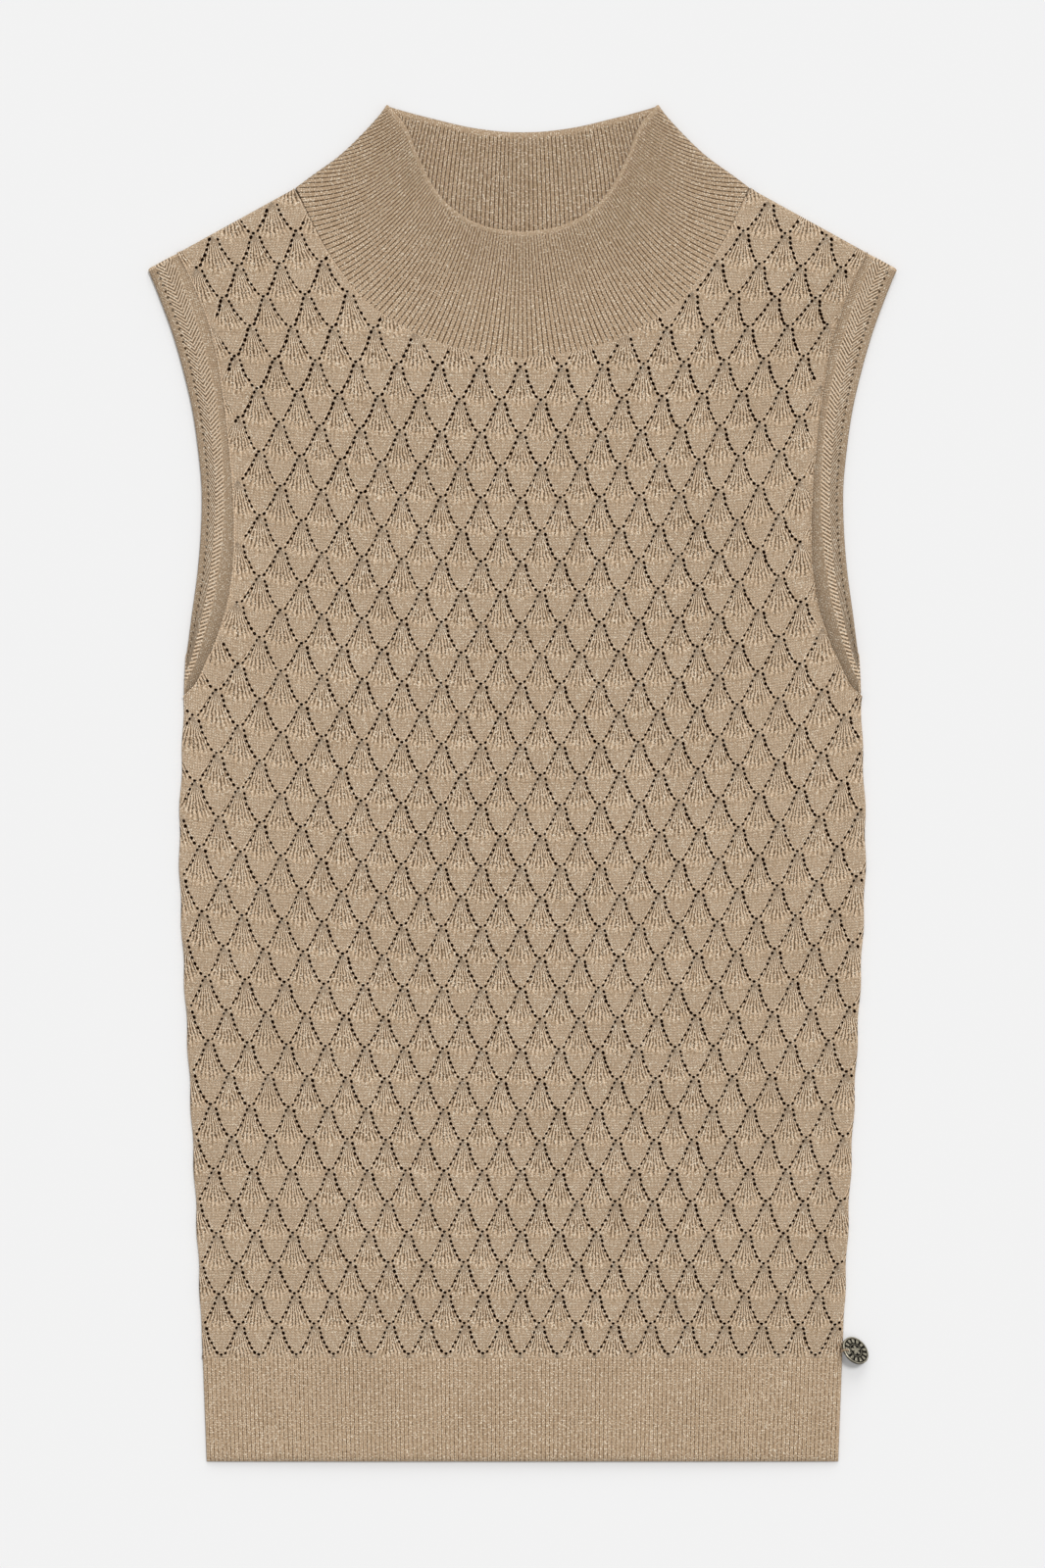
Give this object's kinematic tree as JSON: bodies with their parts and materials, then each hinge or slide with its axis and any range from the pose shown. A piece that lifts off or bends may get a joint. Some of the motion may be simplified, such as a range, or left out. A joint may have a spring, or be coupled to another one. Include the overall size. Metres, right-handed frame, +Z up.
{
  "type": "pointelle knit vest",
  "caption": "Sleeveless mock-neck knit vest with an all-over pointelle leaf lattice, ribbed hem and collar, knitted armhole bands and a side-seam charm, laid flat.",
  "frame": {"origin": "middle of the vest's length and width, on the surface it lies on", "axes": "+Y from the hem to the neck, +X to the right as one looks at the front, +Z up, out of the front"},
  "size_m": [0.3822, 0.692, 0.0095],
  "materials": {
    "pointelle_knit": "fine matt knit with a metallic thread's faint glitter",
    "rib_knit": "fine matt 1x1 rib knit with a metallic thread's faint glitter",
    "band_knit": "fine matt knit laid sideways",
    "charm_metal": "dark patina, worn bright on the raised parts",
    "thread": "matt sewing thread"
  },
  "bodies": {
    "garment": {"front_panel": "pointelle_knit", "back_panel": "pointelle_knit", "hem_rib_front": "rib_knit", "hem_rib_back": "rib_knit", "collar": "rib_knit", "armhole_band_left": "band_knit", "armhole_band_right": "band_knit"},
    "charm": {"charm": "charm_metal", "charm_loop": "thread"}
  },
  "joints": [
    {"name": "charm_swing", "type": "hinge", "parent": "garment", "child": "charm", "pos_m": [0.1634, -0.289, 0.0024], "axis": [0, -1, 0], "range_deg": [0, 45]}
  ]
}
